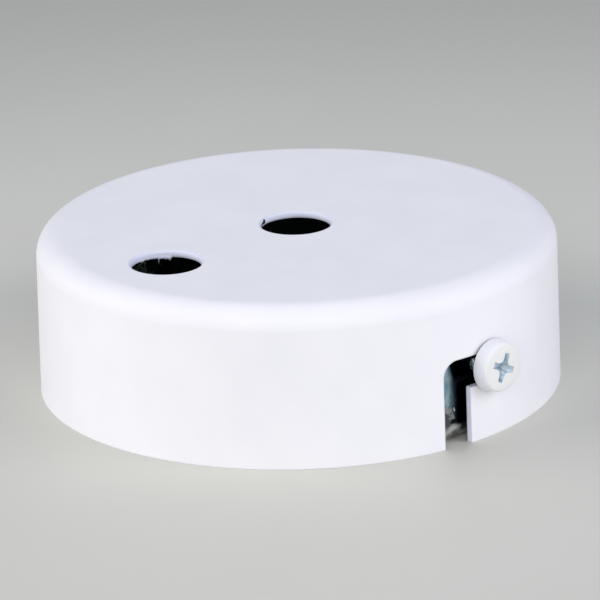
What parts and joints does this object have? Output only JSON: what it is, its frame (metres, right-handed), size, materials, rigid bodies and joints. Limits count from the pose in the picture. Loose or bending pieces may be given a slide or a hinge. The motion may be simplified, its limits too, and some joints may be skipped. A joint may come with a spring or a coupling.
{
  "type": "electrical ceiling rose",
  "caption": "Round white steel ceiling rose for pendant lamp cables: flat face with cable outlets, and L-shaped wall slots that twist and lock on the side screws of a zinc-plated bracket.",
  "frame": {"origin": "centre of the rim, on the ceiling plane", "axes": "+Z away from the ceiling into the room, X along the bracket through both side screws"},
  "size_m": [0.0856, 0.08, 0.025],
  "materials": {
    "white_coat": "fine satin powder coat",
    "zinc_plate": "bluish zinc plate on rolled strip",
    "white_screw": "white lacquer on the head, bare zinc in the recess and on the thread",
    "zinc_screw": "zinc plate",
    "brass_saddle": "stamped"
  },
  "bodies": {
    "bracket": {"mounting_bracket": "zinc_plate", "earth_clamp_washer": "brass_saddle", "earth_lock_washer": "zinc_screw"},
    "cover": {"canopy_cover": "white_coat"},
    "screw_right": {"side_screw_right": "white_screw"},
    "screw_left": {"side_screw_left": "white_screw"},
    "terminal_screw": {"earth_screw": "zinc_screw"}
  },
  "joints": [
    {"name": "cover_twist", "type": "hinge", "parent": "bracket", "child": "cover", "pos_m": [0, 0, 0], "axis": [0, 0, 1], "range_deg": [0, 9.5]},
    {"name": "screw_right_turn", "type": "hinge", "parent": "bracket", "child": "screw_right", "pos_m": [0.0402, 0, 0.01142], "axis": [1, 0, 0], "range_deg": [-150, 720]},
    {"name": "screw_left_turn", "type": "hinge", "parent": "bracket", "child": "screw_left", "pos_m": [-0.0402, 0, 0.01142], "axis": [-1, 0, 0], "range_deg": [-150, 720]},
    {"name": "terminal_screw_turn", "type": "hinge", "parent": "bracket", "child": "terminal_screw", "pos_m": [-0.0126, 0, 0.0043], "axis": [0, 0, 1], "range_deg": [-150, 720]}
  ]
}
